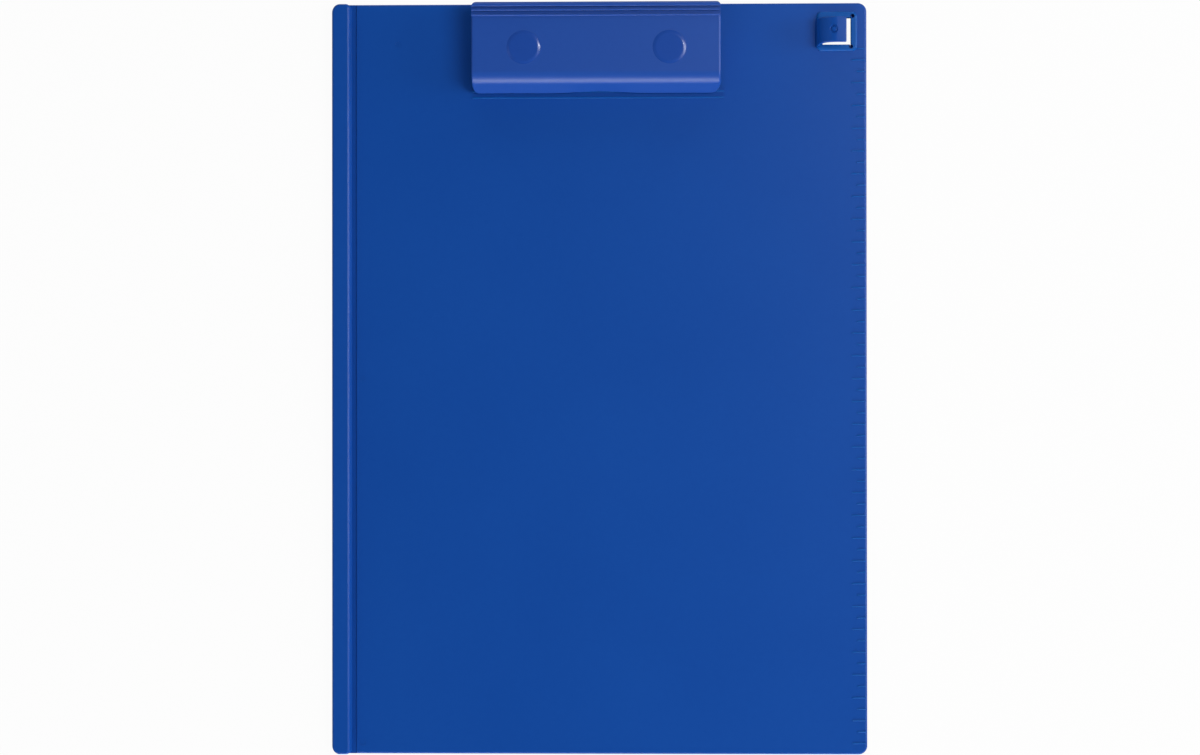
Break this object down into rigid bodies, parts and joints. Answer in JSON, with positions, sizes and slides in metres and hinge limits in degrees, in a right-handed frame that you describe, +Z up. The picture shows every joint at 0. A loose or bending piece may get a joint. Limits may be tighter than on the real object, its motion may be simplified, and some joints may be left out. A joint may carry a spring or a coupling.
{
  "type": "clipboard",
  "caption": "Flat moulded clipboard with a sprung lever clip across the top, a raised paper guide on the left, a ruler edge on the right and an arched pen holder.",
  "frame": {"origin": "middle of the board's underside, the face that it rests on", "axes": "+Z up out of the face that carries the paper, +Y along the board towards the clip, +X towards the ruler edge"},
  "size_m": [0.235, 0.33, 0.0168],
  "materials": {
    "board_plastic": "fine grained, satin",
    "clip_plastic": "smooth, satin",
    "pin_steel": "drawn, bright",
    "spring_steel": "drawn wire",
    "rivet_steel": "zinc plated"
  },
  "bodies": {
    "board": {"board": "board_plastic", "clip_base": "clip_plastic", "spring_left": "spring_steel", "spring_right": "spring_steel", "rivet_left": "rivet_steel", "rivet_right": "rivet_steel", "washer_left": "rivet_steel", "washer_right": "rivet_steel"},
    "lever": {"clip_lever": "clip_plastic", "hinge_pin": "pin_steel"}
  },
  "joints": [
    {"name": "clip_hinge", "type": "hinge", "parent": "board", "child": "lever", "pos_m": [-0.0013, 0.138, 0.0078], "axis": [-1, 0, 0], "range_deg": [0, 15], "stiffness_Nm_per_rad": 0.25, "springref_deg": -48.7, "deforming": ["spring_left", "spring_right"]}
  ]
}
